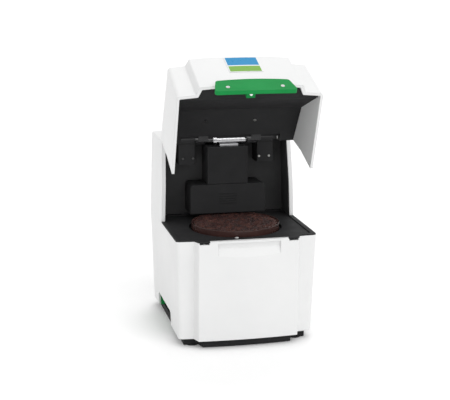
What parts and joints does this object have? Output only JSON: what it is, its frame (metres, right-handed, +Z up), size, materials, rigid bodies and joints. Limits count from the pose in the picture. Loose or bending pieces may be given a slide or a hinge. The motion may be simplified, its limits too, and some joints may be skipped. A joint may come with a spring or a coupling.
{
  "type": "near-infrared analyzer",
  "caption": "Benchtop near-infrared analyzer: a white housing with a hinged hood over a black bay, an optical head above a turning sample dish, a green handle and green hand grips.",
  "frame": {"origin": "on the bench, centred across the width, below the plane where the hood's rear edge meets the column", "axes": "+Z up, -Y towards the user at the front, +X to the right as seen from the front; the hood is open at rest"},
  "size_m": [0.2252, 0.3167, 0.4487],
  "materials": {
    "housing_white": "satin, very light grey-white",
    "black_plastic": "fine matt",
    "black_metal": "matt powder coat",
    "green_plastic": "satin",
    "label_print": "plain colour fields",
    "rod_steel": "bright ground steel",
    "polished_steel": "polished",
    "plain_steel": "zinc plated",
    "aluminium": "anodised",
    "rubber": "matt",
    "glass": "clear",
    "mirror": "front-surface mirror",
    "dish_plastic": "dark, slightly translucent",
    "sample": "coarse ground grain",
    "board_green": "solder mask",
    "bearing_steel": "ground",
    "sheet_steel": "plated sheet"
  },
  "bodies": {
    "base": {"base_plate": "black_plastic", "base_shell": "housing_white", "bay_liner": "black_plastic", "bearing_housing": "aluminium", "bracket_screws": "plain_steel", "catch_magnet": "plain_steel", "column_shell": "housing_white", "data_port": "sheet_steel", "deck_stud": "polished_steel", "deck_tray": "black_plastic", "drive_belt": "rubber", "drive_motor": "black_metal", "drive_pillars": "plain_steel", "drive_plate": "sheet_steel", "fan_frame": "black_plastic", "fan_grille": "plain_steel", "feet": "rubber", "fold_mirror": "mirror", "hand_grip_left": "green_plastic", "hand_grip_right": "green_plastic", "head_window": "glass", "hinge_bracket_left": "black_plastic", "hinge_bracket_right": "black_plastic", "hinge_damper": "rod_steel", "hinge_rod": "rod_steel", "hinge_saddle": "rod_steel", "lamp_bulb": "glass", "lamp_holder": "aluminium", "lamp_reflector": "polished_steel", "lens_tube": "aluminium", "main_board": "board_green", "mirror_mount": "black_metal", "neck_cover": "black_plastic", "optical_head": "black_plastic", "panel_screws": "plain_steel", "power_inlet": "black_plastic", "power_supply": "sheet_steel", "rear_panel": "sheet_steel", "spectrometer_housing": "aluminium", "spindle_bearings": "bearing_steel", "switch_frame": "black_plastic"},
    "hood": {"hood_shell": "housing_white", "hood_liner": "black_plastic", "hood_arm_left": "black_metal", "hood_arm_right": "black_metal", "liner_screws": "plain_steel", "hood_handle": "green_plastic", "handle_screws": "plain_steel", "label_plate": "label_print", "latch_block": "green_plastic", "latch_screw": "polished_steel"},
    "dish_table": {"turntable": "black_plastic", "sample_dish": "dish_plastic", "sample_fill": "sample", "spindle": "bearing_steel", "spindle_pulley": "aluminium"},
    "motor_rotor": {"motor_shaft": "bearing_steel", "motor_pulley": "aluminium"},
    "fan_wheel": {"fan_rotor": "black_plastic"},
    "rocker": {"power_rocker": "black_plastic"}
  },
  "joints": [
    {"name": "hood_hinge", "type": "hinge", "parent": "base", "child": "hood", "pos_m": [0, 0.019, 0.302], "axis": [-1, 0, 0], "range_deg": [-68, 0]},
    {"name": "turntable_spin", "type": "hinge", "parent": "base", "child": "dish_table", "pos_m": [0, -0.0525, 0.1635], "axis": [0, 0, 1], "continuous": true},
    {"name": "motor_spin", "type": "hinge", "parent": "base", "child": "motor_rotor", "pos_m": [0.068, -0.0525, 0.1025], "axis": [0, 0, 1], "continuous": true},
    {"name": "fan_spin", "type": "hinge", "parent": "base", "child": "fan_wheel", "pos_m": [-0.04, 0.10955, 0.0885], "axis": [0, 1, 0], "continuous": true},
    {"name": "rocker_tilt", "type": "hinge", "parent": "base", "child": "rocker", "pos_m": [0.048, 0.1185, 0.0865], "axis": [1, 0, 0], "range_deg": [-16, 0]}
  ],
  "couplings": [
    {"joint": "motor_spin", "follows": "turntable_spin", "ratio": 3.3333}
  ]
}
